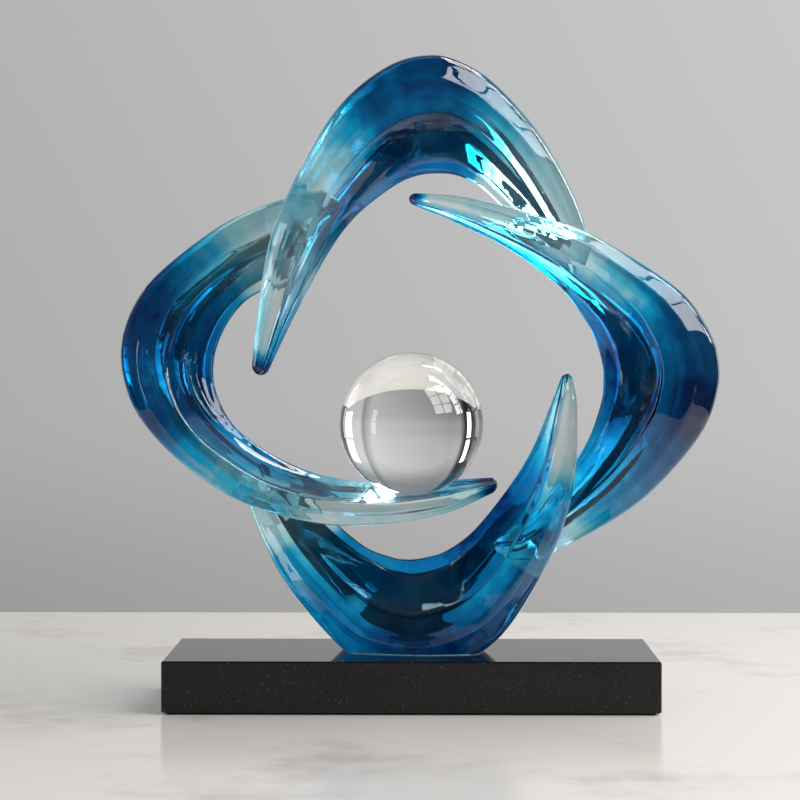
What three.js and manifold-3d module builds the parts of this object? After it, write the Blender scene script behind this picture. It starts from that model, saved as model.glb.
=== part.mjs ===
// Sphere sculpture: four clear blue crescents lap round in a ring on a black plinth,
// and a clear ball rests in a shallow seat on the tail of the left crescent.
// Millimetres, Z up, front towards -Y. The origin is the middle of the underside.

import * as THREE from "three";
import { mergeVertices } from "three/addons/utils/BufferGeometryUtils.js";
import Module from "manifold-3d";

const wasm = await Module();
wasm.setup();
const { Manifold } = wasm;

// Plinth and the thin liner under it
const PLINTH_WIDTH = 270;
const PLINTH_DEPTH = 100;
const PLINTH_HEIGHT = 28;
const PLINTH_CHAMFER = 0.8;
const LINER_THICKNESS = 1;
const LINER_INSET = 3;
const LINER_CHAMFER = 0.1;

// Ring of crescents over its rims, and its depth at the thickest sections
const RING_WIDTH = 335.2;
const RING_HEIGHT = 348.3;
const RING_DEPTH = 52;
const RING_CENTRE_X = 4.6;

// Adhesive films: one under the ring's foot, one at each lap
const FOOT_BOND = 0.4;
const LAP_BOND = 0.4;

// How far the flat lands of a lap run past the crossing
const LAND_MARGIN = 0.5;

// How deep the flat foot is cut into the lowest crescent
const FOOT_CUT = 15.2;

// Ball, the middle of its seat from the ring's centre, and how deep it sinks into the tail
const BALL_DIAMETER = 80;
const SEAT_CLEARANCE = 0.3;
const SEAT_X = -4.6;
const SEAT_Y = -5;
const SEAT_SINK = 3.6;

// Corners of a crescent's section: how far across from inner edge to rim, how deep as a share of half
// the depth, and the share of its sides that is cut off there
const EDGE = { deep: 0.08, cut: 0.2 };
const HOLLOW = { across: 0.15, deep: 0.18, cut: 0.25 };
const RIDGE = { deep: 0.97, cut: 0.05 };
const SHOULDER = { across: 0.74, deep: 1, cut: 0.08 };
const RIM_CREASE = { across: 0.95, deep: 0.74, cut: 0.15 };
const CROWN = { cut: 0.25 };

// Ridges of a crescent: how far across they run at its back tip, its crown and its front tip
const FRONT_RIDGE = [0.36, 0.46, 0.36];
const BACK_RIDGE = [0.6, 0.68, 0.6];

// Steps along a crescent
const TIP_STEPS = 4;
const BODY_STEPS = 44;

// Facets of the ball, its seat and the round lands, and the grid that makes meeting faces share a level
const BALL_DETAIL = 10;
const SEAT_DETAIL = 14;
const LAND_SIDES = 48;
const GRID = 1 / 1024;

// Crescents from back tip to front tip, as drawn from the ring's centre: x and z on the rim, x and z
// on the inner edge, then y of the middle, depth and y of the inner edge. The ring's width, height and
// depth stretch the drawing.
const UPPER = [
  [93.5, 51.5, 86.5, 49.3, 14, 7, 12],
  [96, 70.7, 74.7, 58.8, 14, 16, 9],
  [88.7, 96.8, 55.5, 82.4, 13, 27, 7],
  [69.3, 132, 36.2, 101.2, 9, 40, 4],
  [43.8, 160.2, 26.3, 107.1, 5, 48, 2],
  [24.1, 173, 19.2, 109.6, 2.6, 51, 1],
  [5.9, 177.2, 11.8, 110.3, 0, 52, 0],
  [-17.5, 171, -0.2, 109.2, -3, 50, -1],
  [-43.7, 149.9, -13.9, 103.3, -6, 47, -2],
  [-64.4, 117.8, -34.7, 86.9, -10, 38, -4],
  [-82, 77.9, -50.6, 65.8, -13, 30, -8],
  [-89.6, 37.8, -68.8, 31.6, -15, 17, -11],
  [-93.7, -0.4, -85.5, -3.6, -15, 7, -14],
];
const RIGHT = [
  [49.3, -107, 45.1, -101, 14, 7, 12],
  [66.5, -106.5, 59.4, -89.2, 14, 16, 10],
  [93.9, -94.2, 72.7, -71.2, 13, 27, 7],
  [128, -71.1, 92.6, -41.8, 9, 40, 4],
  [156.4, -38, 101.3, -18.1, 3, 50, 1],
  [167.2, -12, 102.6, -6, 1, 52, 0.4],
  [167.3, 8.6, 102.1, 3, -1, 52, 0],
  [160, 26.6, 98.8, 15.1, -3.4, 50, -1],
  [142.6, 47.4, 92.4, 28.3, -6, 47, -2],
  [97.7, 75.2, 76.8, 47.6, -11, 37, -4],
  [60.2, 88, 46.8, 69.1, -13, 28, -8],
  [24, 96.8, 16.9, 83.4, -15, 17, -11],
  [-5.2, 98.6, -6.6, 93.1, -15, 7, -14],
];
const LOWER = [
  [-100.5, -46.1, -93.7, -43.8, 14, 7, 12],
  [-101, -64, -75, -58.8, 14, 18, 10],
  [-88.7, -98.2, -53.8, -79.5, 13, 29, 7],
  [-73, -125, -31.6, -98, 8, 42, 3],
  [-43, -157.5, -15.2, -104.4, 3, 50, 1],
  [-22, -167.5, -7.9, -105.4, 1.4, 52, 0.4],
  [-2, -171.1, -3.2, -105.3, 0, 52, 0],
  [22, -165, 4.4, -104, -2, 51, -0.4],
  [44.5, -150, 14.6, -100.6, -4, 49, -1],
  [63.4, -122.8, 29.8, -89.2, -8, 43, -3],
  [79, -90, 48.5, -65.8, -12, 33, -6],
  [86.5, -59.2, 62, -43.9, -14, 25, -9],
  [87.3, -20.9, 73.7, -15, -15, 16, -12],
  [84.2, -1.2, 78.7, -1.5, -15, 7, -14],
];
const LEFT = [
  [-37.8, 102.2, -33, 95.8, 14, 7, 12],
  [-61.8, 101.5, -53, 76, 13, 21, 10],
  [-96.9, 91.2, -78, 51.6, 12, 31, 7],
  [-124.6, 74.6, -98.4, 38.6, 9, 40, 4],
  [-155.8, 45.8, -111.1, 20.4, 4, 48, 2],
  [-167.9, 13.4, -115.5, 0.8, 0, 50, 0],
  [-160.5, -19.3, -111.4, -18, -4, 47, -1],
  [-136.6, -48, -100.2, -34.2, -8, 42, -1],
  [-101.2, -72, -76.5, -50, -12, 36, 0],
  [-57.6, -84.8, -50.4, -59.4, -11, 34, 4],
  [-18.7, -85.5, -18, -62.6, -9, 35, 6],
  [14.3, -79.6, 12.8, -61.2, -8, 30, 5],
  [43.8, -66.8, 43, -59.1, -6, 8, -4],
];

// Colours
const colour = (color, roughness) => new THREE.MeshStandardMaterial({ color, roughness, metalness: 0 });
const resin = colour(0x1673a8, 0.05);
const crystal = colour(0xdfe3e6, 0.02);
const blackStone = colour(0x0b0b0d, 0.08);
const adhesive = colour(0xc9dce4, 0.3);
const foam = colour(0x1b1b1c, 0.9);

const root = new THREE.Group();
root.name = "sphere_sculpture";

// Adds a manifold solid to the group as a named mesh.
function addPart(name, solid, material) {
  const mesh = solid.getMesh();
  const stride = mesh.numProp;
  const points = new Float32Array(mesh.numVert * 3);
  for (let i = 0; i < mesh.numVert; i++) {
    points.set(mesh.vertProperties.subarray(i * stride, i * stride + 3), i * 3);
  }
  const geometry = new THREE.BufferGeometry();
  geometry.setAttribute("position", new THREE.BufferAttribute(points, 3));
  geometry.setIndex(new THREE.BufferAttribute(mesh.triVerts, 1));
  geometry.computeVertexNormals();
  const part = new THREE.Mesh(geometry, material);
  part.name = name;
  root.add(part);
}

// Manifold solid of a closed geometry, with its points on the grid.
function solidOf(geometry) {
  geometry.deleteAttribute("normal");
  geometry.deleteAttribute("uv");
  const points = geometry.getAttribute("position");
  points.array.forEach((value, i) => {
    points.array[i] = Math.round(value / GRID) * GRID;
  });
  const merged = mergeVertices(geometry, GRID / 2);
  return new Manifold(new wasm.Mesh({
    numProp: 3,
    vertProperties: merged.getAttribute("position").array,
    triVerts: new Uint32Array(merged.index.array),
  }));
}

// Value at s from 0 to 1 of the parabola through three values at 0, 0.5 and 1.
function through([a, b, c], s) {
  return a * (1 - s) * (1 - 2 * s) + 4 * b * s * (1 - s) + c * s * (2 * s - 1);
}

// Corner of a section, with the share of its sides that is cut off.
const corner = (across, deep, cut) => ({ at: new THREE.Vector2(across, deep), cut });

// Closed loop with each corner cut back by its share of the sides.
function cutCorners(loop) {
  return loop.flatMap(({ at, cut }, i) => {
    const before = loop[(i + loop.length - 1) % loop.length].at;
    const after = loop[(i + 1) % loop.length].at;
    return [at.clone().lerp(before, cut), at.clone().lerp(after, cut)];
  });
}

// Section as [across, deep] points: across is 0 at the inner edge and 1 at the rim, deep is in mm
// from the middle. The front side goes out from the inner edge and the back side comes home.
function sectionLoop(halfDepth, edge, frontRidge, backRidge) {
  const side = (sign, ridge) => {
    const deep = sign * halfDepth;
    const hollowEdge = edge * (1 - HOLLOW.across / ridge);
    return [
      corner(0, edge + EDGE.deep * deep, EDGE.cut),
      corner(HOLLOW.across, hollowEdge + HOLLOW.deep * deep, HOLLOW.cut),
      corner(ridge, RIDGE.deep * deep, RIDGE.cut),
      corner(SHOULDER.across, SHOULDER.deep * deep, SHOULDER.cut),
      corner(RIM_CREASE.across, RIM_CREASE.deep * deep, RIM_CREASE.cut),
    ];
  };
  return cutCorners([...side(-1, frontRidge), corner(1, 0, CROWN.cut), ...side(1, backRidge).reverse()]);
}

// Where the section is placed along a crescent, and how far each tip has rounded in.
function sweepStops(startRadius, endRadius) {
  const turn = (i) => (i / TIP_STEPS) * (Math.PI / 2);
  const stops = [];
  for (let i = 1; i <= TIP_STEPS; i++) {
    stops.push([startRadius * (1 - Math.cos(turn(i))), Math.sin(turn(i))]);
  }
  for (let i = 1; i < BODY_STEPS; i++) {
    stops.push([THREE.MathUtils.lerp(startRadius, 1 - endRadius, i / BODY_STEPS), 1]);
  }
  for (let i = TIP_STEPS; i >= 1; i--) {
    stops.push([1 - endRadius * (1 - Math.cos(turn(i))), Math.sin(turn(i))]);
  }
  return stops;
}

// Rows of a crescent stretched from the drawing to the ring's size.
function stretched(rows) {
  const drawn = [UPPER, RIGHT, LOWER, LEFT].flat();
  const span = (column) => {
    const values = drawn.map((row) => row[column]);
    return Math.max(...values) - Math.min(...values);
  };
  const wide = RING_WIDTH / span(0);
  const high = RING_HEIGHT / span(1);
  const deep = RING_DEPTH / Math.max(...drawn.map((row) => row[5]));
  return rows.map(([rimX, rimZ, innerX, innerZ, y, depth, edge]) => (
    [rimX * wide, rimZ * high, innerX * wide, innerZ * high, y * deep, depth * deep, edge * deep]));
}

// Sweeps the section along a crescent and closes both tips to a rounded point.
function crescent(drawn) {
  const rows = stretched(drawn);
  const spline = (pick) => new THREE.CatmullRomCurve3(rows.map(pick), false, "catmullrom", 0.5);
  const rim = spline(([x, z, , , y]) => new THREE.Vector3(x, y, z));
  const inner = spline(([, , x, z, , , edge]) => new THREE.Vector3(x, edge, z));
  const middle = spline(([rx, rz, ix, iz, y]) => new THREE.Vector3((rx + ix) / 2, y, (rz + iz) / 2));
  const depths = spline((row) => new THREE.Vector3(row[5], 0, 0));
  const length = middle.getLength();
  const tipRadius = ([rx, rz, ix, iz]) => Math.hypot(rx - ix, rz - iz) / 2 / length;
  const stops = sweepStops(tipRadius(rows[0]), tipRadius(rows[rows.length - 1]));
  const positions = [];
  let around = 0;
  for (const [u, round] of stops) {
    const t = middle.getUtoTmapping(u);
    const centre = middle.getPoint(t);
    const across = rim.getPoint(t).sub(inner.getPoint(t));
    const edge = inner.getPoint(t).y - centre.y;
    const ridges = [through(FRONT_RIDGE, t), through(BACK_RIDGE, t)];
    const loop = sectionLoop(depths.getPoint(t).x / 2, edge, ...ridges);
    around = loop.length;
    for (const p of loop) {
      const reach = (p.x - 0.5) * round;
      positions.push(centre.x + across.x * reach, centre.y + p.y * round, centre.z + across.z * reach);
    }
  }
  for (const t of [0, 1]) positions.push(...middle.getPoint(t).toArray());
  return closedSweep(positions, around, stops.length);
}

// Solid from rings of points, closed by a last point at each end.
function closedSweep(positions, around, rings) {
  const faces = [];
  const start = around * rings;
  for (let k = 0; k < around; k++) {
    const next = (k + 1) % around;
    faces.push(start, next, k);
    for (let r = 0; r < rings - 1; r++) {
      const a = r * around;
      const b = a + around;
      faces.push(a + k, a + next, b + next, a + k, b + next, b + k);
    }
    const last = (rings - 1) * around;
    faces.push(start + 1, last + k, last + next);
  }
  const build = (order) => new Manifold(new wasm.Mesh({
    numProp: 3, vertProperties: new Float32Array(positions), triVerts: new Uint32Array(order) }));
  const solid = build(faces);
  return solid.volume() > 0 ? solid : build(faces.reverse());
}

// Box standing on the level z with all its edges cut at 45 degrees.
function chamferedBox(width, depth, height, cut, z) {
  const [x, y] = [width / 2 - cut, depth / 2 - cut];
  const trim = cut * (Math.SQRT2 - 1);
  const outline = [];
  for (const [right, back] of [[1, 1], [-1, 1], [-1, -1], [1, -1]]) {
    const ends = [
      new THREE.Vector2(right * x, back * (y - trim)),
      new THREE.Vector2(right * (x - trim), back * y),
    ];
    outline.push(...(right === back ? ends : ends.reverse()));
  }
  const bevel = { bevelThickness: cut, bevelSize: cut, bevelSegments: 1 };
  const body = new THREE.ExtrudeGeometry(new THREE.Shape(outline), { depth: height - 2 * cut, ...bevel });
  return solidOf(body.translate(0, 0, z + cut));
}

// Ball of even facets.
function ball(radius, detail, [x, y, z]) {
  return solidOf(new THREE.IcosahedronGeometry(radius, detail).translate(x, y, z));
}

// Block that holds everything on one side of a level.
const beyond = 2 * (RING_WIDTH + RING_HEIGHT);
function sideOf(level, direction) {
  const block = new THREE.BoxGeometry(beyond, beyond, beyond);
  block.translate(...direction.map((step) => step * beyond / 2));
  block.translate(...direction.map((step) => Math.abs(step) * level));
  return solidOf(block);
}
const behindLevel = (y) => sideOf(y, [0, 1, 0]);
const aheadOfLevel = (y) => sideOf(y, [0, -1, 0]);
const aboveLevel = (z) => sideOf(z, [0, 0, 1]);
const belowLevel = (z) => sideOf(z, [0, 0, -1]);

// Largest of a solid's separate bodies.
function largest(solid) {
  return solid.decompose().reduce((a, b) => (b.volume() > a.volume() ? b : a));
}

// Trims a front tail and the back tail behind it to flat lands and returns both and the film between.
function lap(front, back) {
  const shared = front.intersect(back);
  const { min, max } = shared.boundingBox();
  const reach = Math.hypot(max[0] - min[0], max[2] - min[2]) / 2 + LAND_MARGIN;
  const drum = solidOf(new THREE.CylinderGeometry(reach, reach, beyond, LAND_SIDES)
    .translate((min[0] + max[0]) / 2, 0, (min[2] + max[2]) / 2));
  const middle = (min[1] + max[1]) / 2;
  const behind = behindLevel(middle - LAP_BOND / 2);
  const ahead = aheadOfLevel(middle + LAP_BOND / 2);
  const slab = behind.intersect(ahead);
  return {
    front: front.subtract(drum.intersect(behind)),
    back: back.subtract(drum.intersect(ahead)),
    film: largest(shared.intersect(slab)),
  };
}

// Heights, from the liner up
const plinthTop = LINER_THICKNESS + PLINTH_HEIGHT;
const footLevel = plinthTop + FOOT_BOND;
const lowest = Math.min(...stretched(LOWER).map(([, z]) => z));
const ringCentreZ = footLevel - FOOT_CUT - lowest;
const place = (solid) => solid.translate([RING_CENTRE_X, 0, ringCentreZ]);

// Crescents with their flat laps, seat and foot
let upper = place(crescent(UPPER));
let right = place(crescent(RIGHT));
let lower = place(crescent(LOWER));
let left = place(crescent(LEFT));

const topLeft = lap(upper, left);
upper = topLeft.front;
left = topLeft.back;
const topRight = lap(right, upper);
right = topRight.front;
upper = topRight.back;
const bottomRight = lap(lower, right);
lower = bottomRight.front;
right = bottomRight.back;
const bottomLeft = lap(left, lower);
left = bottomLeft.front;
lower = bottomLeft.back;

// Ball, sunk into the top of the left tail, which a needle finds at the seat
const ballRadius = BALL_DIAMETER / 2;
const seatX = RING_CENTRE_X + SEAT_X;
const needle = solidOf(new THREE.BoxGeometry(SEAT_CLEARANCE, SEAT_CLEARANCE, beyond)
  .translate(seatX, SEAT_Y, 0));
const tailTop = belowLevel(ringCentreZ).intersect(needle).intersect(left).boundingBox().max[2];
const ballCentre = [seatX, SEAT_Y, tailTop - SEAT_SINK + ballRadius];
left = left.subtract(ball(ballRadius + SEAT_CLEARANCE, SEAT_DETAIL, ballCentre));

const film = belowLevel(footLevel).intersect(aboveLevel(plinthTop));
const footBond = lower.intersect(film);
lower = lower.intersect(aboveLevel(footLevel));

const linerWidth = PLINTH_WIDTH - 2 * LINER_INSET;
const linerDepth = PLINTH_DEPTH - 2 * LINER_INSET;
const liner = chamferedBox(linerWidth, linerDepth, LINER_THICKNESS, LINER_CHAMFER, 0);
const plinth = chamferedBox(PLINTH_WIDTH, PLINTH_DEPTH, PLINTH_HEIGHT, PLINTH_CHAMFER, LINER_THICKNESS);

addPart("base_liner", liner, foam);
addPart("plinth", plinth, blackStone);
addPart("foot_bond", footBond, adhesive);
addPart("crescent_upper", upper, resin);
addPart("crescent_right", right, resin);
addPart("crescent_left", left, resin);
addPart("crescent_lower", lower, resin);
addPart("lap_bond_top_left", topLeft.film, adhesive);
addPart("lap_bond_top_right", topRight.film, adhesive);
addPart("lap_bond_bottom_right", bottomRight.film, adhesive);
addPart("lap_bond_bottom_left", bottomLeft.film, adhesive);
addPart("crystal_ball", ball(ballRadius, BALL_DETAIL, ballCentre), crystal);

export default root;
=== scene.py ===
import math

import bpy
import numpy as np
from mathutils import Euler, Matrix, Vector, noise


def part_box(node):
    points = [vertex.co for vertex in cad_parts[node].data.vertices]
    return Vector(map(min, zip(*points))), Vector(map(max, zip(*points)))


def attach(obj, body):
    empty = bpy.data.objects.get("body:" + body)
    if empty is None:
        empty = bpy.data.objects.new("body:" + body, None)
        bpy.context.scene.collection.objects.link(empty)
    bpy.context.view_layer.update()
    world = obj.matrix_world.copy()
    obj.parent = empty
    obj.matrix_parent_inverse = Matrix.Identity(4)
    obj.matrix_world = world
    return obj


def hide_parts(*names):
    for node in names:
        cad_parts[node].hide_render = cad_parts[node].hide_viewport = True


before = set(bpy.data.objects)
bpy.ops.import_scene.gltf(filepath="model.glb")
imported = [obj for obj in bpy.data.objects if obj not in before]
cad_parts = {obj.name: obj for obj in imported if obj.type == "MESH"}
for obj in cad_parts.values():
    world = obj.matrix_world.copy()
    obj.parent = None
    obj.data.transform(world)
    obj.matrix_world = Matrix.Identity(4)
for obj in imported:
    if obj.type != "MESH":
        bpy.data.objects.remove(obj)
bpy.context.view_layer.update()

MM = 0.001

# Camera: where it stands, how many degrees it is turned, and its lens and picture width in millimetres
CAMERA_PLACE = (0.0067, -1.262, 0.194)
CAMERA_PITCH_DOWN = 1.13
CAMERA_YAW_LEFT = 0.6
CAMERA_LENS = 101.475
CAMERA_WIDTH = 36

# Table top under the plinth
TABLE_HALF_WIDTH = 0.55
TABLE_FRONT = -0.5
TABLE_BACK = 0.437
TABLE_THICKNESS = 0.03

# Windows: the bars between their panes, their light and the middle of the object, which they face
WINDOW_BAR = 0.04
WINDOW_LIGHT = (1.0, 0.99, 0.97)
PLAIN_LIGHT = (1, 1, 1)
WINDOW_TARGET = (0, 0, 0.18)

# Even light on the object
AMBIENT_LIGHT = 0.46

# Wall behind, painted into the world: its level, the painted light that brightens it to the right and
# upwards, and the painted shade that dims it at its foot
WALL_LEVEL = 0.49
WALL_GAIN_RIGHT = 0.35
WALL_GAIN_UP = 0.2
WALL_FOOT = {"From Min": -0.12, "From Max": -0.02, "To Min": -0.08, "To Max": 0.0}

# Ceiling as the object shows it, from where it starts to dim to where it is dimmest
CEILING = {"From Min": 0.35, "From Max": 0.75, "To Min": 1.0, "To Max": 0.4}

# Room round the object: how bright it is beside the wall behind, by degrees clockwise from that wall
ROOM = (
    (-180, 0.15), (-120, 0.2), (-100, 0.9), (-75, 1.3), (-62, 1.0), (-58, 0.08), (-37, 0.1), (-32, 1.2),
    (-24, 1.0), (24, 1.0), (31, 0.5), (34, 1.0), (60, 0.9), (64, 0.12), (120, 0.12), (180, 0.15),
)

# Ring and ball, as the made pieces have them
RING_CENTRE_X = 4.6 * MM
FOOT_CUT = 15.2 * MM
LAP_BOND = 0.4 * MM
LAND_MARGIN = 0.5 * MM
BALL_RADIUS = 40 * MM
SEAT_CLEARANCE = 0.3 * MM

# Faces round the ball and its seat, and from pole to pole
BALL_FACES = (128, 64)
SEAT_FACES = (192, 96)

# Cutting tools: sides of a drum, and how far a tool reaches past the ring
DRUM_SIDES = 96
TOOL_REACH = 0.2

# Edges that stay sharp, in degrees between their faces
RESIN_SHARP = 35
BALL_SHARP = 60

# Corners of a section: share across from inner edge to rim, share of half the depth, and share rounded
EDGE = {"deep": 0.08, "round": 0.3}
HOLLOW = {"across": 0.15, "deep": 0.18, "round": 0.42}
RIDGE = {"deep": 0.97, "round": 0.08}
SHOULDER = {"across": 0.74, "deep": 1.0, "round": 0.12}
RIM_CREASE = {"across": 0.95, "deep": 0.74, "round": 0.25}
CROWN = {"across": 0.993, "round": 0.4}
CORNER_POINTS = 7
FLAT_POINTS = 3

# Ridges of a crescent: how far across they run at its back tip, its crown and its front tip
FRONT_RIDGE = (0.36, 0.46, 0.36)
BACK_RIDGE = (0.6, 0.68, 0.6)

# Steps along a crescent, and the points at which its length is measured
TIP_STEPS = 10
BODY_STEPS = 170
LENGTH_POINTS = 2001

# Hand-finished surface: how far and how widely it waves
WAVE_HEIGHT = 0.12 * MM
WAVE_LENGTH = 26 * MM

# Levels along a crescent from back tip to front tip, in its outer part and along its inner edge: dye over
# the length, painted light along the inner edge as well, and a rise to full depth at both very tips
OUTER_DYE = (
    (0.0, 1.0), (0.006, 0.75), (0.03, 0.3), (0.12, 0.22), (0.2, 0.12), (0.3, 0.5), (0.42, 0.87),
    (0.62, 0.81), (0.7, 0.4), (0.77, 0.12), (0.86, 0.05), (0.965, 0.12), (0.993, 0.95), (1.0, 1.0),
)
INNER_EDGE_DYE_AND_LIGHT = (
    (0.0, 1.0), (0.006, 0.7), (0.03, 0.2), (0.24, 0.15), (0.32, 0.6), (0.42, 0.84), (0.62, 0.88),
    (0.74, 0.6), (0.86, 0.4), (0.965, 0.5), (0.993, 1.0), (1.0, 1.0),
)

# Painted light and shade across a crescent from inner edge to rim, added to the dye above the plain level:
# a paler band beside the front ridge is painted light and the darker rim is painted shade, standing in for
# what refraction in the facets gives
PLAIN_ACROSS_LEVEL = 0.5
ACROSS_LIGHT_AND_SHADE = (
    (0.0, 0.55), (0.46, 0.55), (0.48, 0.42), (0.62, 0.44), (0.66, 0.58), (0.93, 0.55), (0.99, 0.8),
)

# Shares of each crescent's length between which it is deeply dyed, and where the levels above have them
DYED = {"upper": (0.32, 0.69), "right": (0.23, 0.69), "lower": (0.2, 0.82), "left": (0.25, 0.6)}
DYE_STARTS = 0.3
DYE_ENDS = 0.7

# Places along and across the dye that cut faces take, in a clear tail and in a dyed crown
CLEAR_CUT = (0.2, 0.5)
DYED_CUT = (0.5, 0.5)

# Shares across a crescent between which its inner colours, dye with painted light, give way to its outer
# colours
INNER_ZONE = {"From Min": 0.3, "From Max": 0.45, "To Min": 1.0, "To Max": 0.0}

# Colours by the amount of dye; the inner edge's colours run to a brighter cobalt, painted light that stands
# in for light refracted into that edge
OUTER_COLOURS = (
    (0.0, (0.94, 0.97, 0.96)),
    (0.25, (0.46, 0.84, 0.91)),
    (0.5, (0.006, 0.43, 0.74)),
    (0.75, (0.001, 0.15, 0.38)),
    (1.0, (0.0005, 0.02, 0.10)),
)
INNER_EDGE_COLOURS_WITH_LIGHT = (
    (0.0, (0.94, 0.97, 0.96)),
    (0.25, (0.42, 0.78, 0.9)),
    (0.5, (0.01, 0.38, 0.72)),
    (0.8, (0.002, 0.2, 0.56)),
    (1.0, (0.0005, 0.02, 0.14)),
)
BUBBLE_COLOUR = (0.75, 0.93, 1.0)

# Clouds in the dye: their middle level, and how strongly they thin or deepen it
CLOUD_MIDDLE = 0.7
CLOUD_STRENGTH = 0.8

# Roughness of the polished stone for each unit of its ripple
STONE_ROUGHNESS = 0.09

# Faint tint of the resin's body, and how strong it is by the metre
BODY_TINT = (0.03, 0.8, 0.97, 1)
BODY_TINT_STRENGTH = 5.0

# Crescents from back tip to front tip in mm: rim x, z, inner edge x, z, middle y, depth, inner edge y
UPPER = [
    (93.5, 51.5, 86.5, 49.3, 14, 7, 12),
    (96, 70.7, 74.7, 58.8, 14, 16, 9),
    (88.7, 96.8, 55.5, 82.4, 13, 27, 7),
    (69.3, 132, 36.2, 101.2, 9, 40, 4),
    (43.8, 160.2, 26.3, 107.1, 5, 48, 2),
    (24.1, 173, 19.2, 109.6, 2.6, 51, 1),
    (5.9, 177.2, 11.8, 110.3, 0, 52, 0),
    (-17.5, 171, -0.2, 109.2, -3, 50, -1),
    (-43.7, 149.9, -13.9, 103.3, -6, 47, -2),
    (-64.4, 117.8, -34.7, 86.9, -10, 38, -4),
    (-82, 77.9, -50.6, 65.8, -13, 30, -8),
    (-89.6, 37.8, -68.8, 31.6, -15, 17, -11),
    (-93.7, -0.4, -85.5, -3.6, -15, 7, -14),
]
RIGHT = [
    (49.3, -107, 45.1, -101, 14, 7, 12),
    (66.5, -106.5, 59.4, -89.2, 14, 16, 10),
    (93.9, -94.2, 72.7, -71.2, 13, 27, 7),
    (128, -71.1, 92.6, -41.8, 9, 40, 4),
    (156.4, -38, 101.3, -18.1, 3, 50, 1),
    (167.2, -12, 102.6, -6, 1, 52, 0.4),
    (167.3, 8.6, 102.1, 3, -1, 52, 0),
    (160, 26.6, 98.8, 15.1, -3.4, 50, -1),
    (142.6, 47.4, 92.4, 28.3, -6, 47, -2),
    (97.7, 75.2, 76.8, 47.6, -11, 37, -4),
    (60.2, 88, 46.8, 69.1, -13, 28, -8),
    (24, 96.8, 16.9, 83.4, -15, 17, -11),
    (-5.2, 98.6, -6.6, 93.1, -15, 7, -14),
]
LOWER = [
    (-100.5, -46.1, -93.7, -43.8, 14, 7, 12),
    (-101, -64, -75, -58.8, 14, 18, 10),
    (-88.7, -98.2, -53.8, -79.5, 13, 29, 7),
    (-73, -125, -31.6, -98, 8, 42, 3),
    (-43, -157.5, -15.2, -104.4, 3, 50, 1),
    (-22, -167.5, -7.9, -105.4, 1.4, 52, 0.4),
    (-2, -171.1, -3.2, -105.3, 0, 52, 0),
    (22, -165, 4.4, -104, -2, 51, -0.4),
    (44.5, -150, 14.6, -100.6, -4, 49, -1),
    (63.4, -122.8, 29.8, -89.2, -8, 43, -3),
    (79, -90, 48.5, -65.8, -12, 33, -6),
    (86.5, -59.2, 62, -43.9, -14, 25, -9),
    (87.3, -20.9, 73.7, -15, -15, 16, -12),
    (84.2, -1.2, 78.7, -1.5, -15, 7, -14),
]
LEFT = [
    (-37.8, 102.2, -33, 95.8, 14, 7, 12),
    (-61.8, 101.5, -53, 76, 13, 21, 10),
    (-96.9, 91.2, -78, 51.6, 12, 31, 7),
    (-124.6, 74.6, -98.4, 38.6, 9, 40, 4),
    (-155.8, 45.8, -111.1, 20.4, 4, 48, 2),
    (-167.9, 13.4, -115.5, 0.8, 0, 50, 0),
    (-160.5, -19.3, -111.4, -18, -4, 47, -1),
    (-136.6, -48, -100.2, -34.2, -8, 42, -1),
    (-101.2, -72, -76.5, -50, -12, 36, 0),
    (-57.6, -84.8, -50.4, -59.4, -11, 34, 4),
    (-18.7, -85.5, -18, -62.6, -9, 35, 6),
    (14.3, -79.6, 12.8, -61.2, -8, 30, 5),
    (43.8, -66.8, 43, -59.1, -6, 8, -4),
]


# Curves and sections

def spline(points):
    """Uniform Catmull-Rom curve through the points, as a function of shares from 0 to 1."""
    inner = np.array(points, float)
    line = np.vstack([2 * inner[0] - inner[1], inner, 2 * inner[-1] - inner[-2]])
    spans = len(inner) - 1

    def at(share):
        place = np.asarray(share, float) * spans
        first = np.minimum(place.astype(int), spans - 1)
        w = (place - first)[:, None]
        a, b, c, d = (line[first + i] for i in range(4))
        bend = 2 * a - 5 * b + 4 * c - d
        turn = 3 * b - a - 3 * c + d
        return 0.5 * (2 * b + (c - a) * w + bend * w ** 2 + turn * w ** 3)

    return at


def through(values, share):
    """Parabola through three values at 0, 0.5 and 1."""
    a, b, c = values
    return a * (1 - share) * (1 - 2 * share) + 4 * b * share * (1 - share) + c * share * (2 * share - 1)


def rounded(corners):
    """Closed loop with each corner turned into a small curve and points along each flat."""
    loop = []
    count = len(corners)
    for i, (*place, share) in enumerate(corners):
        corner = np.array(place)
        before = np.array(corners[i - 1][:2])
        *place_after, share_after = corners[(i + 1) % count]
        after = np.array(place_after)
        start = corner + (before - corner) * share
        end = corner + (after - corner) * share
        flat_end = after + (corner - after) * share_after
        for k in range(CORNER_POINTS):
            s = k / (CORNER_POINTS - 1)
            loop.append(start * (1 - s) ** 2 + corner * 2 * s * (1 - s) + end * s ** 2)
        for k in range(1, FLAT_POINTS + 1):
            loop.append(end + (flat_end - end) * k / (FLAT_POINTS + 1))
    return np.array(loop)


def section(half_depth, edge, front_ridge, back_ridge):
    """Points as shares across, 0 at the inner edge and 1 at the rim, and metres deep from the middle."""
    def side(sign, ridge):
        deep = sign * half_depth
        hollow_edge = edge * (1 - HOLLOW["across"] / ridge)
        return [
            (0, edge + EDGE["deep"] * deep, EDGE["round"]),
            (HOLLOW["across"], hollow_edge + HOLLOW["deep"] * deep, HOLLOW["round"]),
            (ridge, RIDGE["deep"] * deep, RIDGE["round"]),
            (SHOULDER["across"], SHOULDER["deep"] * deep, SHOULDER["round"]),
            (RIM_CREASE["across"], RIM_CREASE["deep"] * deep, RIM_CREASE["round"]),
        ]

    crown = [(CROWN["across"], 0, CROWN["round"])]
    return rounded(side(-1, front_ridge) + crown + side(1, back_ridge)[::-1])


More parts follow.
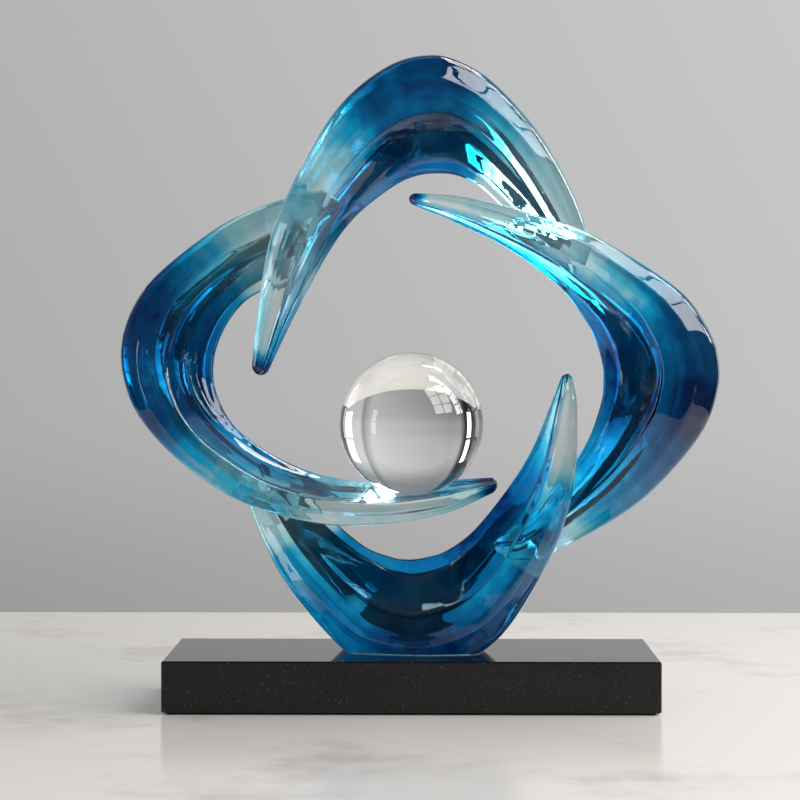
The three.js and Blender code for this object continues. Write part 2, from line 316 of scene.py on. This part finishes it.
def sweep_stops(start_radius, end_radius):
    """Places along a crescent and how far its section has opened there, rounded in at both tips."""
    turns = [math.pi / 2 * i / TIP_STEPS for i in range(1, TIP_STEPS + 1)]
    stops = [(start_radius * (1 - math.cos(turn)), math.sin(turn)) for turn in turns]
    body = np.linspace(start_radius, 1 - end_radius, BODY_STEPS + 1)[1:-1]
    stops += [(place, 1.0) for place in body]
    stops += [(1 - end_radius * (1 - math.cos(turn)), math.sin(turn)) for turn in reversed(turns)]
    return np.array(stops)


def wave(point, seed):
    """Small offset along a surface point's own direction, smooth and the same in every run."""
    return WAVE_HEIGHT * noise.noise(Vector(point) / WAVE_LENGTH + Vector((seed, 0, 0)))


def crescent(name, rows, centre, dyed, seed):
    """Swept crescent as an object, with a map of its length, fitted to where it is dyed, and its width."""
    rows = np.array(rows) * MM
    rim = spline(np.column_stack([rows[:, 0], rows[:, 4], rows[:, 1]]))
    inner = spline(np.column_stack([rows[:, 2], rows[:, 6], rows[:, 3]]))
    middle_rows = [(rows[:, 0] + rows[:, 2]) / 2, rows[:, 4], (rows[:, 1] + rows[:, 3]) / 2]
    middle = spline(np.column_stack(middle_rows))
    depth = spline(rows[:, 5:6])

    fine = np.linspace(0, 1, LENGTH_POINTS)
    steps = np.linalg.norm(np.diff(middle(fine), axis=0), axis=1)
    gone = np.concatenate([[0], np.cumsum(steps)])
    tip_radii = [math.hypot(row[0] - row[2], row[1] - row[3]) / 2 / gone[-1] for row in rows[[0, -1]]]
    stops = sweep_stops(*tip_radii)
    shares = np.interp(stops[:, 0] * gone[-1], gone, fine)

    middles = middle(shares)
    acrosses = rim(shares) - inner(shares)
    edges = inner(shares)[:, 1] - middles[:, 1]
    depths = depth(shares)[:, 0]
    dye_places = np.interp(shares, (0, *dyed, 1), (0, DYE_STARTS, DYE_ENDS, 1))
    vertices = []
    places = []
    for i, open_share in enumerate(stops[:, 1]):
        front = through(FRONT_RIDGE, shares[i])
        back = through(BACK_RIDGE, shares[i])
        for width, deep in section(depths[i] / 2, edges[i], front, back):
            reach = (width - 0.5) * open_share
            offset = Vector((acrosses[i][0] * reach, deep * open_share, acrosses[i][2] * reach))
            point = Vector(middles[i]) + offset
            swell = wave(point, seed) * open_share
            vertices.append(point + offset.normalized() * (swell - WAVE_HEIGHT) + centre)
            places.append((dye_places[i], width))
    around = len(places) // len(stops)
    rings = len(stops)
    vertices += [Vector(middle([0])[0]) + centre, Vector(middle([1])[0]) + centre]
    places += [(0, 0.5), (1, 0.5)]

    faces = []
    first_tip = around * rings
    for k in range(around):
        following = (k + 1) % around
        faces.append((first_tip, following, k))
        for r in range(rings - 1):
            a = r * around
            b = a + around
            faces.append((a + k, a + following, b + following, b + k))
        last = (rings - 1) * around
        faces.append((first_tip + 1, last + k, last + following))
    return mesh_object(name, vertices, faces, places)


def mesh_object(name, vertices, faces, places=None):
    """Object from points and faces, with its faces turned out and a map of places if given."""
    mesh = bpy.data.meshes.new(name)
    mesh.from_pydata(vertices, [], faces)
    if places:
        layer = mesh.uv_layers.new(name="length_and_width")
        for loop in mesh.loops:
            layer.data[loop.index].uv = places[loop.vertex_index]
    piece = bpy.data.objects.new(name, mesh)
    bpy.context.scene.collection.objects.link(piece)
    if signed_volume(mesh) < 0:
        mesh.flip_normals()
    return piece


def block(name, low, high):
    """Plain block between two corners."""
    corners = [(x, y, z) for x in (low[0], high[0]) for y in (low[1], high[1]) for z in (low[2], high[2])]
    faces = [(0, 1, 3, 2), (4, 6, 7, 5), (0, 4, 5, 1), (2, 3, 7, 6), (0, 2, 6, 4), (1, 5, 7, 3)]
    return mesh_object(name, corners, faces)


def signed_volume(mesh):
    """Volume inside a closed mesh, below zero if its faces point in."""
    mesh.calc_loop_triangles()
    points = np.array([v.co for v in mesh.vertices])
    corners = points[np.array([t.vertices for t in mesh.loop_triangles])]
    return np.einsum("ij,ij->", corners[:, 0], np.cross(corners[:, 1], corners[:, 2])) / 6


def copy_of(piece):
    """Loose copy of a piece with a mesh of its own."""
    other = piece.copy()
    other.data = piece.data.copy()
    bpy.context.scene.collection.objects.link(other)
    return other


def remove(piece):
    """Takes a helper object out of the scene."""
    bpy.data.objects.remove(piece)


def carve(piece, tool, operation="DIFFERENCE"):
    """Cuts or joins the piece's mesh with the tool and keeps the result as plain mesh."""
    modifier = piece.modifiers.new("carve", "BOOLEAN")
    modifier.operation = operation
    modifier.solver = "MANIFOLD"
    modifier.object = tool
    graph = bpy.context.evaluated_depsgraph_get()
    made = bpy.data.meshes.new_from_object(piece.evaluated_get(graph))
    piece.modifiers.clear()
    piece.data = made


def place_cut(tool, place):
    """Gives the faces that a cutting tool leaves one place along the dyed length and across it."""
    layer = tool.data.uv_layers.new(name="length_and_width")
    for loop in tool.data.loops:
        layer.data[loop.index].uv = place


def span(piece):
    """Lowest and highest corner of a mesh."""
    points = np.array([v.co for v in piece.data.vertices])
    return points.min(axis=0), points.max(axis=0)


def drum(centre, radius, start, end):
    """Cylinder along Y, from start to end."""
    sides = DRUM_SIDES
    ring = [2 * math.pi * k / sides for k in range(sides)]
    vertices = []
    for y in (start, end):
        vertices += [(centre[0] + radius * math.cos(t), y, centre[1] + radius * math.sin(t)) for t in ring]
    faces = [tuple(range(sides - 1, -1, -1)), tuple(range(sides, 2 * sides))]
    faces += [(k, (k + 1) % sides, sides + (k + 1) % sides, sides + k) for k in range(sides)]
    return mesh_object("drum", vertices, faces)


def lap(front, back):
    """Trims a front tail and the back tail behind it to flat lands, a bond apart."""
    shared = copy_of(front)
    carve(shared, back, "INTERSECT")
    low, high = span(shared)
    remove(shared)
    radius = math.hypot(high[0] - low[0], high[2] - low[2]) / 2 + LAND_MARGIN
    centre = ((low[0] + high[0]) / 2, (low[2] + high[2]) / 2)
    middle = (low[1] + high[1]) / 2
    front_land = middle - LAP_BOND / 2
    back_land = middle + LAP_BOND / 2
    for piece, start, end in ((front, front_land, TOOL_REACH), (back, -TOOL_REACH, back_land)):
        tool = drum(centre, radius, start, end)
        place_cut(tool, CLEAR_CUT)
        carve(piece, tool)
        remove(tool)


def ball_mesh(name, radius, centre, segments, rings):
    """Ball of even quads between two poles, smooth all over."""
    vertices = [Vector(centre) + Vector((0, 0, radius))]
    for r in range(1, rings):
        fall = math.pi * r / rings
        for k in range(segments):
            turn = 2 * math.pi * k / segments
            out = Vector((math.sin(fall) * math.cos(turn), math.sin(fall) * math.sin(turn), math.cos(fall)))
            vertices.append(Vector(centre) + out * radius)
    vertices.append(Vector(centre) - Vector((0, 0, radius)))
    last = len(vertices) - 1
    faces = []
    for k in range(segments):
        following = (k + 1) % segments
        faces.append((0, 1 + k, 1 + following))
        for r in range(rings - 2):
            a = 1 + r * segments
            b = a + segments
            faces.append((a + k, b + k, b + following, a + following))
        a = 1 + (rings - 2) * segments
        faces.append((last, a + following, a + k))
    return mesh_object(name, vertices, faces)


def finish_surface(piece, sharp_angle):
    """Smooth faces that keep an edge where they meet at more than the angle."""
    piece.data.shade_smooth()
    piece.data.set_sharp_from_angle(angle=math.radians(sharp_angle))


# Node helpers

def add(tree, kind, **settings):
    """Node with its own settings and its inputs' plain values."""
    node = tree.nodes.new(kind)
    inputs = settings.pop("inputs", {})
    for name, value in settings.items():
        setattr(node, name, value)
    for name, value in inputs.items():
        node.inputs[name].default_value = value
    return node


def join(tree, source, out_name, target, in_name):
    tree.links.new(source.outputs[out_name], target.inputs[in_name])


def new_material(name, inputs):
    """Material with one shader on its output, and its tree, shader and output."""
    material = bpy.data.materials.new(name)
    material.use_nodes = True
    tree = material.node_tree
    tree.nodes.clear()
    shader = add(tree, "ShaderNodeBsdfPrincipled", inputs=inputs)
    output = add(tree, "ShaderNodeOutputMaterial")
    join(tree, shader, "BSDF", output, "Surface")
    return material, tree, shader, output


def maths(tree, operation, first, second=None, clamp=False):
    """Math node on sockets or numbers, and its output socket."""
    node = tree.nodes.new("ShaderNodeMath")
    node.operation = operation
    node.use_clamp = clamp
    for i, value in enumerate((first, second)):
        if value is None:
            continue
        if isinstance(value, (int, float)):
            node.inputs[i].default_value = value
        else:
            tree.links.new(value, node.inputs[i])
    return node.outputs[0]


def ramp(tree, source, stops, smooth=True):
    """Colour ramp over the stops, each a place and a colour."""
    node = tree.nodes.new("ShaderNodeValToRGB")
    node.color_ramp.interpolation = "EASE" if smooth else "LINEAR"
    elements = node.color_ramp.elements
    while len(elements) < len(stops):
        elements.new(0.5)
    for element, (place, shade) in zip(elements, stops):
        element.position = place
        element.color = (*shade, 1)
    tree.links.new(source, node.inputs[0])
    return node.outputs[0]


def levels(tree, source, stops, smooth=True):
    """Ramp of plain levels instead of colours."""
    return ramp(tree, source, [(place, (level, level, level)) for place, level in stops], smooth)


def smooth_range(tree, source, inputs):
    """Source carried smoothly from one range to another."""
    node = add(tree, "ShaderNodeMapRange", interpolation_type="SMOOTHSTEP", inputs=inputs)
    tree.links.new(source, node.inputs["Value"])
    return node.outputs["Result"]


def blend(tree, share, first, second):
    """Two colours mixed by a share, the second a socket or a plain colour."""
    node = add(tree, "ShaderNodeMix", data_type="RGBA")
    tree.links.new(share, node.inputs[0])
    tree.links.new(first, node.inputs[6])
    if isinstance(second, tuple):
        node.inputs[7].default_value = (*second, 1)
    else:
        tree.links.new(second, node.inputs[7])
    return node.outputs[2]


# Shared effects

# How many fine waves run in a slow one
FINE_RATIO = 6.0


def group_with(name, inputs, outputs):
    """Empty node group with named sockets, and its two ends."""
    group = bpy.data.node_groups.new(name, "ShaderNodeTree")
    for label, kind, value in inputs:
        socket = group.interface.new_socket(label, in_out="INPUT", socket_type=kind)
        socket.default_value = value
    for label, kind in outputs:
        group.interface.new_socket(label, in_out="OUTPUT", socket_type=kind)
    return group, group.nodes.new("NodeGroupInput"), group.nodes.new("NodeGroupOutput")


def make_specks():
    """Group that puts out a mask of tiny scattered specks."""
    inputs = [("Specks per metre", "NodeSocketFloat", 400.0), ("Speck size", "NodeSocketFloat", 0.1),
              ("Share kept", "NodeSocketFloat", 0.3)]
    group, start, end = group_with("scattered_specks", inputs, [("Mask", "NodeSocketFloat")])
    place = add(group, "ShaderNodeTexCoord")
    cells = add(group, "ShaderNodeTexVoronoi", feature="F1")
    join(group, place, "Object", cells, "Vector")
    join(group, start, "Specks per metre", cells, "Scale")
    near = maths(group, "LESS_THAN", cells.outputs["Distance"], start.outputs["Speck size"])
    split = add(group, "ShaderNodeSeparateColor")
    join(group, cells, "Color", split, "Color")
    kept = maths(group, "LESS_THAN", split.outputs["Red"], start.outputs["Share kept"])
    both = maths(group, "MULTIPLY", near, kept)
    group.links.new(both, end.inputs["Mask"])
    return group


def make_ripple():
    """Group that puts out a height of slow waves with a little fine unevenness."""
    inputs = [("Waves per metre", "NodeSocketFloat", 30.0), ("Fine share", "NodeSocketFloat", 0.2)]
    group, start, end = group_with("hand_polish", inputs, [("Height", "NodeSocketFloat")])
    place = add(group, "ShaderNodeTexCoord")
    slow = add(group, "ShaderNodeTexNoise", inputs={"Detail": 1.0, "Roughness": 0.4})
    fine = add(group, "ShaderNodeTexNoise", inputs={"Detail": 2.0, "Roughness": 0.5})
    join(group, place, "Object", slow, "Vector")
    join(group, place, "Object", fine, "Vector")
    join(group, start, "Waves per metre", slow, "Scale")
    faster = maths(group, "MULTIPLY", start.outputs["Waves per metre"], FINE_RATIO)
    group.links.new(faster, fine.inputs["Scale"])
    small = maths(group, "MULTIPLY", fine.outputs[0], start.outputs["Fine share"])
    height = maths(group, "ADD", slow.outputs[0], small)
    group.links.new(height, end.inputs["Height"])
    return group


specks = make_specks()
ripple = make_ripple()


def place_group(tree, group, **values):
    """Copy of a shared effect in a material, with that material's own values."""
    node = tree.nodes.new("ShaderNodeGroup")
    node.node_tree = group
    for name, value in values.items():
        node.inputs[name.replace("_", " ")].default_value = value
    return node


def bumped(tree, height, strength, distance):
    node = add(tree, "ShaderNodeBump", inputs={"Strength": strength, "Distance": distance})
    tree.links.new(height, node.inputs["Height"])
    return node.outputs["Normal"]


# Materials

def blue_resin():
    """Casting resin, a touch cloudy, dyed deep blue round its crown and nearly clear along its tails, with
    painted light and shade in its colour: a brighter cobalt inner edge, a paler band beside the front ridge
    and a darker rim.
    """
    material, tree, shader, output = new_material("blue_resin", {
        "Roughness": 0.0, "IOR": 1.5, "Transmission Weight": 0.95})

    place = add(tree, "ShaderNodeUVMap", uv_map="length_and_width")
    split = add(tree, "ShaderNodeSeparateXYZ")
    join(tree, place, "UV", split, "Vector")
    clouds = place_group(tree, ripple, Waves_per_metre=22.0, Fine_share=0.4)
    drift = maths(tree, "SUBTRACT", clouds.outputs["Height"], CLOUD_MIDDLE)
    drift = maths(tree, "MULTIPLY", drift, CLOUD_STRENGTH)
    outer_part_dye_light_and_shade = levels(tree, split.outputs["X"], OUTER_DYE)
    # Painted light and shade across the section join the outer dye: a paler band beside the front ridge and
    # a darker rim.
    across_light_and_shade = levels(tree, split.outputs["Y"], ACROSS_LIGHT_AND_SHADE, False)
    across_light_and_shade = maths(tree, "SUBTRACT", across_light_and_shade, PLAIN_ACROSS_LEVEL)
    outer_part_dye_light_and_shade = maths(tree, "ADD", outer_part_dye_light_and_shade, across_light_and_shade)
    outer_part_dye_light_and_shade = maths(tree, "ADD", outer_part_dye_light_and_shade, drift, clamp=True)
    # Along the inner edge the level and colours carry painted light, a brighter cobalt for light refracted
    # into that edge.
    inner_edge_dye_and_light = levels(tree, split.outputs["X"], INNER_EDGE_DYE_AND_LIGHT)
    inner_edge_dye_and_light = maths(tree, "ADD", inner_edge_dye_and_light, drift, clamp=True)
    outer = ramp(tree, outer_part_dye_light_and_shade, OUTER_COLOURS)
    inner = ramp(tree, inner_edge_dye_and_light, INNER_EDGE_COLOURS_WITH_LIGHT)
    edge_share = smooth_range(tree, split.outputs["Y"], INNER_ZONE)
    tint = blend(tree, edge_share, outer, inner)
    bubbles = place_group(tree, specks, Specks_per_metre=110.0, Speck_size=0.05, Share_kept=0.16)
    dotted = blend(tree, bubbles.outputs["Mask"], tint, BUBBLE_COLOUR)
    tree.links.new(dotted, shader.inputs["Base Color"])

    waves = place_group(tree, ripple, Waves_per_metre=45.0, Fine_share=0.05)
    normal = bumped(tree, waves.outputs["Height"], strength=0.25, distance=0.002)
    tree.links.new(normal, shader.inputs["Normal"])

    body = add(tree, "ShaderNodeVolumeAbsorption", inputs={
        "Color": BODY_TINT, "Density": BODY_TINT_STRENGTH})
    join(tree, body, "Volume", output, "Volume")
    return material


def clear_crystal():
    """Optical glass with faint inclusions."""
    material, tree, shader, _ = new_material("crystal", {
        "Roughness": 0.0, "IOR": 1.52, "Transmission Weight": 1.0})
    dots = place_group(tree, specks, Specks_per_metre=220.0, Speck_size=0.05, Share_kept=0.2)
    tint = ramp(tree, dots.outputs["Mask"], [(0.0, (0.985, 0.99, 0.99)), (1.0, (0.8, 0.82, 0.84))])
    tree.links.new(tint, shader.inputs["Base Color"])
    return material


def black_stone():
    """Polished black stone with pale grains."""
    material, tree, shader, _ = new_material("black_stone", {"IOR": 1.42})
    dots = place_group(tree, specks, Specks_per_metre=900.0, Speck_size=0.22, Share_kept=0.12)
    tint = ramp(tree, dots.outputs["Mask"], [(0.0, (0.004, 0.004, 0.0045)), (1.0, (0.09, 0.09, 0.095))])
    tree.links.new(tint, shader.inputs["Base Color"])
    waves = place_group(tree, ripple, Waves_per_metre=24.0, Fine_share=0.3)
    rough = maths(tree, "MULTIPLY", waves.outputs["Height"], STONE_ROUGHNESS)
    tree.links.new(rough, shader.inputs["Roughness"])
    normal = bumped(tree, waves.outputs["Height"], strength=0.04, distance=0.002)
    tree.links.new(normal, shader.inputs["Normal"])
    return material


def adhesive(name, milkiness):
    """Cured clear adhesive, more hidden by its milkiness where its ripple is high."""
    material, tree, shader, _ = new_material(name, {"IOR": 1.5, "Roughness": 0.2})
    waves = place_group(tree, ripple, Waves_per_metre=300.0, Fine_share=0.4)
    tint = ramp(tree, waves.outputs["Height"], [(0.3, (0.30, 0.62, 0.75)), (0.7, (0.42, 0.72, 0.82))])
    tree.links.new(tint, shader.inputs["Base Color"])
    veil = maths(tree, "MULTIPLY", waves.outputs["Height"], milkiness, clamp=True)
    tree.links.new(veil, shader.inputs["Alpha"])
    return material


def liner_foam():
    """Thin black foam under the plinth."""
    material, tree, shader, _ = new_material("liner_foam", {"Roughness": 0.9})
    cells = place_group(tree, specks, Specks_per_metre=1600.0, Speck_size=0.35, Share_kept=0.9)
    tint = ramp(tree, cells.outputs["Mask"], [(0.0, (0.012, 0.012, 0.013)), (1.0, (0.006, 0.006, 0.006))])
    tree.links.new(tint, shader.inputs["Base Color"])
    normal = bumped(tree, cells.outputs["Mask"], strength=0.4, distance=0.0002)
    tree.links.new(normal, shader.inputs["Normal"])
    return material


def pale_table():
    """Pale veined stone table top with a soft gloss."""
    material, tree, shader, _ = new_material("pale_table", {"IOR": 1.45, "Roughness": 0.18})
    waves = place_group(tree, ripple, Waves_per_metre=7.0, Fine_share=0.5)
    tint = ramp(tree, waves.outputs["Height"], [(0.35, (0.36, 0.33, 0.3)), (0.75, (0.5, 0.48, 0.455))])
    folds = place_group(tree, ripple, Waves_per_metre=16.0, Fine_share=0.9)
    vein = levels(tree, folds.outputs["Height"], [(0.48, 0.0), (0.5, 0.85), (0.52, 0.0)])
    veined = blend(tree, vein, tint, (0.16, 0.13, 0.105))
    tree.links.new(veined, shader.inputs["Base Color"])
    return material


# Stage, light and camera

def make_camera():
    data = bpy.data.cameras.new("camera")
    data.lens = CAMERA_LENS
    data.sensor_width = CAMERA_WIDTH
    camera = bpy.data.objects.new("camera", data)
    camera.location = CAMERA_PLACE
    turn = (math.radians(90 - CAMERA_PITCH_DOWN), 0, math.radians(CAMERA_YAW_LEFT))
    camera.rotation_euler = Euler(turn)
    bpy.context.scene.collection.objects.link(camera)
    bpy.context.scene.camera = camera


def make_table():
    low = (-TABLE_HALF_WIDTH, TABLE_FRONT, -TABLE_THICKNESS)
    table = block("table", low, (TABLE_HALF_WIDTH, TABLE_BACK, 0))
    table.data.materials.append(pale_table())


def softbox(name, place, facing, width, height, power, shade):
    """Large soft lamp, kept out of the camera's own sight."""
    data = bpy.data.lights.new(name, "AREA")
    data.shape = "RECTANGLE"
    data.size = width
    data.size_y = height
    data.energy = power
    data.color = shade
    lamp = bpy.data.objects.new(name, data)
    lamp.location = place
    lamp.rotation_euler = facing.to_euler()
    lamp.visible_camera = False
    bpy.context.scene.collection.objects.link(lamp)


def window(name, place, width, height, power, columns, rows, shade):
    """Softboxes for the panes of a window, which faces the middle of the object."""
    facing = (Vector(WINDOW_TARGET) - Vector(place)).to_track_quat("-Z", "Y")
    pane_width = width / columns
    pane_height = height / rows
    for i in range(columns):
        for j in range(rows):
            shift = Vector(((i + 0.5) * pane_width - width / 2, (j + 0.5) * pane_height - height / 2, 0))
            softbox(f"{name}_{i}_{j}", Vector(place) + facing @ shift, facing,
                    pane_width - WINDOW_BAR, pane_height - WINDOW_BAR, power / columns / rows, shade)


def make_lamps():
    """Windows by name, place, width, height, power in watts, columns and rows of panes, and light."""
    window("window_right_front", (1.05, -0.72, 1.1), 0.9, 1.2, 24, 2, 3, WINDOW_LIGHT)
    window("window_right_side", (1.25, -0.05, 0.9), 0.5, 1.0, 17, 2, 3, WINDOW_LIGHT)
    window("window_top", (0.6, 0.25, 1.4), 0.9, 0.5, 12, 3, 2, WINDOW_LIGHT)
    window("window_left_front", (-1.3, -0.7, 0.25), 0.25, 0.9, 2.5, 1, 2, WINDOW_LIGHT)
    window("window_right_back", (1.2, 1.0, 0.4), 0.4, 1.1, 2, 1, 2, PLAIN_LIGHT)
    window("window_left_back", (-1.1, 1.25, 0.4), 0.2, 1.1, 1.2, 1, 2, PLAIN_LIGHT)


def make_world():
    """Even pale light on the object, a grey wall behind it, and round it a dim room that it reflects."""
    world = bpy.data.worlds.new("studio")
    bpy.context.scene.world = world
    world.use_nodes = True
    tree = world.node_tree
    tree.nodes.clear()
    output = add(tree, "ShaderNodeOutputWorld")
    rays = add(tree, "ShaderNodeLightPath")
    seen = maths(tree, "ADD", rays.outputs["Is Camera Ray"], rays.outputs["Is Glossy Ray"])
    seen = maths(tree, "ADD", seen, rays.outputs["Is Transmission Ray"], clamp=True)

    place = add(tree, "ShaderNodeTexCoord")
    split = add(tree, "ShaderNodeSeparateXYZ")
    join(tree, place, "Generated", split, "Vector")
    # Painted light: the wall brightens to the right and upwards; painted shade: it dims at its foot.
    side = maths(tree, "MULTIPLY", split.outputs["X"], WALL_GAIN_RIGHT)
    rise = maths(tree, "MULTIPLY", split.outputs["Z"], WALL_GAIN_UP)
    wall = maths(tree, "ADD", maths(tree, "ADD", side, rise), WALL_LEVEL)
    wall = maths(tree, "ADD", wall, smooth_range(tree, split.outputs["Z"], WALL_FOOT))
    turned = maths(tree, "ARCTAN2", split.outputs["X"], split.outputs["Y"])
    turn = maths(tree, "ADD", maths(tree, "DIVIDE", turned, 2 * math.pi), 0.5)
    around = levels(tree, turn, [(0.5 + degrees / 360, level) for degrees, level in ROOM], False)
    level = maths(tree, "MULTIPLY", around, smooth_range(tree, split.outputs["Z"], CEILING))
    missing = maths(tree, "SUBTRACT", 1.0, level)
    straight = maths(tree, "MULTIPLY", missing, rays.outputs["Is Camera Ray"])
    room = maths(tree, "MULTIPLY", wall, maths(tree, "ADD", level, straight))

    light = add(tree, "ShaderNodeBackground", inputs={"Color": (1, 1, 1, 1), "Strength": AMBIENT_LIGHT})
    sight = add(tree, "ShaderNodeBackground", inputs={"Strength": 1.0})
    tree.links.new(room, sight.inputs["Color"])
    mix = add(tree, "ShaderNodeMixShader")
    tree.links.new(seen, mix.inputs[0])
    tree.links.new(light.outputs[0], mix.inputs[1])
    tree.links.new(sight.outputs[0], mix.inputs[2])
    join(tree, mix, "Shader", output, "Surface")


make_camera()
make_table()
make_lamps()
make_world()

# Crescents, lapped in the order front over back round the ring

_, foot_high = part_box("foot_bond")
ball_low, ball_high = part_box("crystal_ball")
foot_level = foot_high[2]
lower_reach = min(row[1] for row in LOWER) * MM
ring_centre = Vector((RING_CENTRE_X, 0, foot_level - FOOT_CUT - lower_reach))

resin = blue_resin()
upper = crescent("upper_crescent", UPPER, ring_centre, DYED["upper"], seed=1)
right = crescent("right_crescent", RIGHT, ring_centre, DYED["right"], seed=2)
lower = crescent("lower_crescent", LOWER, ring_centre, DYED["lower"], seed=3)
left = crescent("left_crescent", LEFT, ring_centre, DYED["left"], seed=4)

lap(upper, left)
lap(right, upper)
lap(lower, right)
lap(left, lower)

ball_centre = (ball_low + ball_high) / 2
seat = ball_mesh("seat", BALL_RADIUS + SEAT_CLEARANCE, ball_centre, *SEAT_FACES)
place_cut(seat, CLEAR_CUT)
carve(left, seat)
remove(seat)


foot_low = (-TOOL_REACH, -TOOL_REACH, foot_level - TOOL_REACH)
foot_tool = block("foot_tool", foot_low, (TOOL_REACH, TOOL_REACH, foot_level))
place_cut(foot_tool, DYED_CUT)
carve(lower, foot_tool)
remove(foot_tool)

for piece, node in ((upper, "crescent_upper"), (right, "crescent_right"),
                    (lower, "crescent_lower"), (left, "crescent_left")):
    finish_surface(piece, RESIN_SHARP)
    piece.data.materials.clear()
    piece.data.materials.append(resin)
    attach(piece, "sculpture")
    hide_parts(node)

ball = ball_mesh("clear_ball", BALL_RADIUS, ball_centre, *BALL_FACES)
finish_surface(ball, BALL_SHARP)
ball.data.materials.append(clear_crystal())
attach(ball, "ball")
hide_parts("crystal_ball")


def dress(node, material):
    """Gives a carried-over piece its material."""
    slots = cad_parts[node].data.materials
    slots.clear()
    slots.append(material)


clear = adhesive("clear_adhesive", milkiness=0.2)
dress("plinth", black_stone())
dress("base_liner", liner_foam())
# The foot bond is made far milkier than the lap bonds as painted light: its pale blue veil brightens the
# patch seen through the lower crescent, where the black plinth would show dark.
dress("foot_bond", adhesive("milky_adhesive_painted_light", milkiness=1.4))
for corner in ("top_left", "top_right", "bottom_right", "bottom_left"):
    dress(f"lap_bond_{corner}", clear)

bpy.context.scene.view_settings.view_transform = "Standard"
